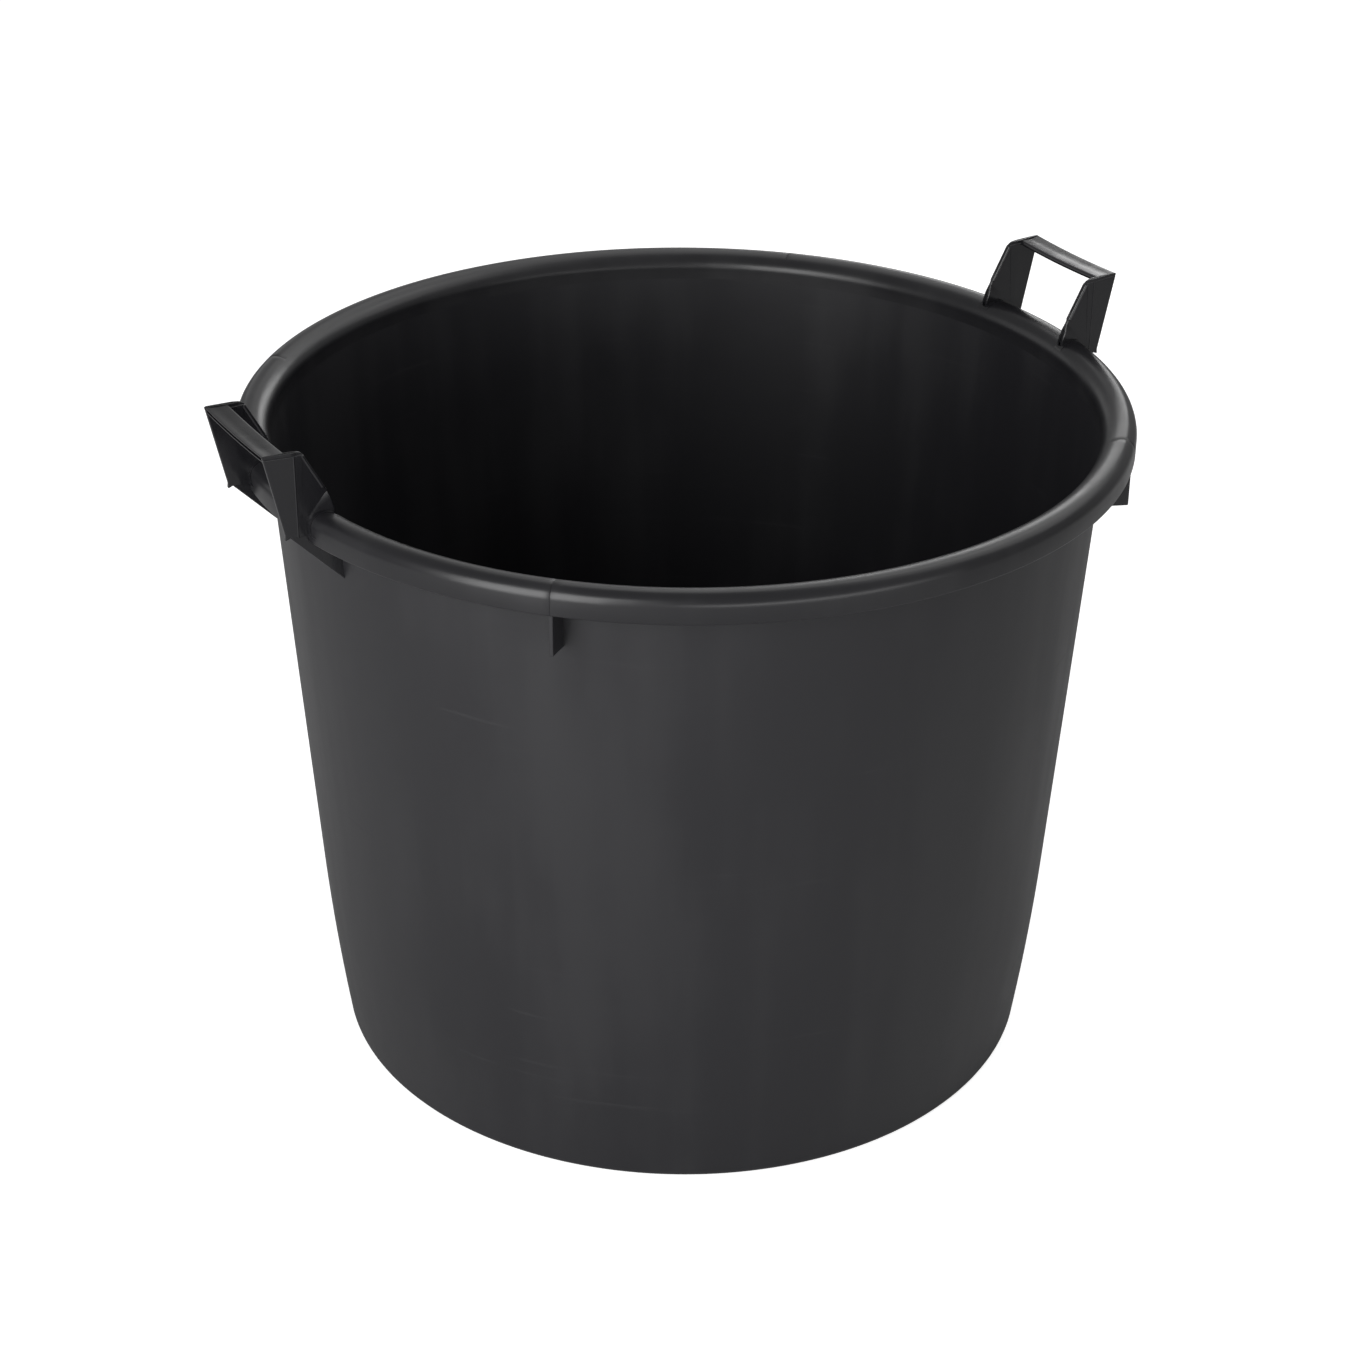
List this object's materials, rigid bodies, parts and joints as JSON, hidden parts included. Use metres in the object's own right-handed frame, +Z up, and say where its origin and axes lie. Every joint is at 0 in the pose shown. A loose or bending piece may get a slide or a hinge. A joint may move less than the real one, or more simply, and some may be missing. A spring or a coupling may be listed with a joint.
{
  "type": "builders tub",
  "caption": "Round tapered builders tub in black moulded plastic, with a rolled rim, fixed upright handles and ribs under the rim, for mixing and carrying mortar or rubble.",
  "frame": {"origin": "centre of the standing face", "axes": "+Z up out of the mouth, +X towards the right handle, -Y towards the front"},
  "size_m": [0.6468, 0.6, 0.5065],
  "materials": {
    "black_polyethylene": "satin moulded surface, lightly scuffed"
  },
  "bodies": {
    "root": {"tub_wall": "black_polyethylene", "tub_floor": "black_polyethylene", "front_rim": "black_polyethylene", "rear_rim": "black_polyethylene", "left_rim": "black_polyethylene", "right_rim": "black_polyethylene", "left_front_cheek": "black_polyethylene", "left_rear_cheek": "black_polyethylene", "right_front_cheek": "black_polyethylene", "right_rear_cheek": "black_polyethylene", "left_grip": "black_polyethylene", "right_grip": "black_polyethylene", "left_front_gusset": "black_polyethylene", "left_rear_gusset": "black_polyethylene", "right_front_gusset": "black_polyethylene", "right_rear_gusset": "black_polyethylene", "front_left_fin": "black_polyethylene", "front_right_fin": "black_polyethylene", "rear_left_fin": "black_polyethylene", "rear_right_fin": "black_polyethylene"}
  },
  "joints": []
}
